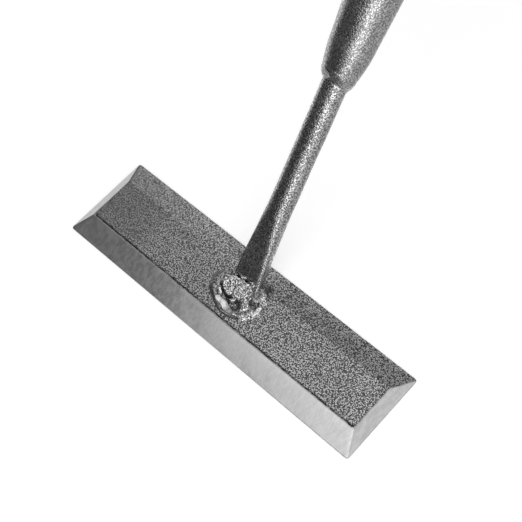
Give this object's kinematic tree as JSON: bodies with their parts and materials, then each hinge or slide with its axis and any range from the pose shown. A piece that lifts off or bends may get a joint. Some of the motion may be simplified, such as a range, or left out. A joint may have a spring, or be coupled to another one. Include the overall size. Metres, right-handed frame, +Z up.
{
  "type": "dutch hoe",
  "caption": "Long-handled hoe with a bevelled bar blade, a forged and welded round neck, a tapered steel socket and a straight ash handle.",
  "frame": {"origin": "middle of the blade's flat sole", "axes": "+X along the blade, -Y towards the front cutting edge, +Y towards the handle's side, +Z up from the ground that the sole lies on"},
  "size_m": [0.15, 1.0436, 1.2686],
  "materials": {
    "blade": "grey hammertone paint on the face, bare ground steel on the front and end bevels",
    "hammertone": "glossy grey hammertone paint",
    "ash": "satin oiled ash, straight grain",
    "zinc": "bright zinc plate"
  },
  "bodies": {
    "root": {"blade": "blade", "blade_weld": "hammertone", "neck": "hammertone", "socket_weld": "hammertone", "socket": "hammertone", "handle": "ash", "handle_screw": "zinc"}
  },
  "joints": []
}
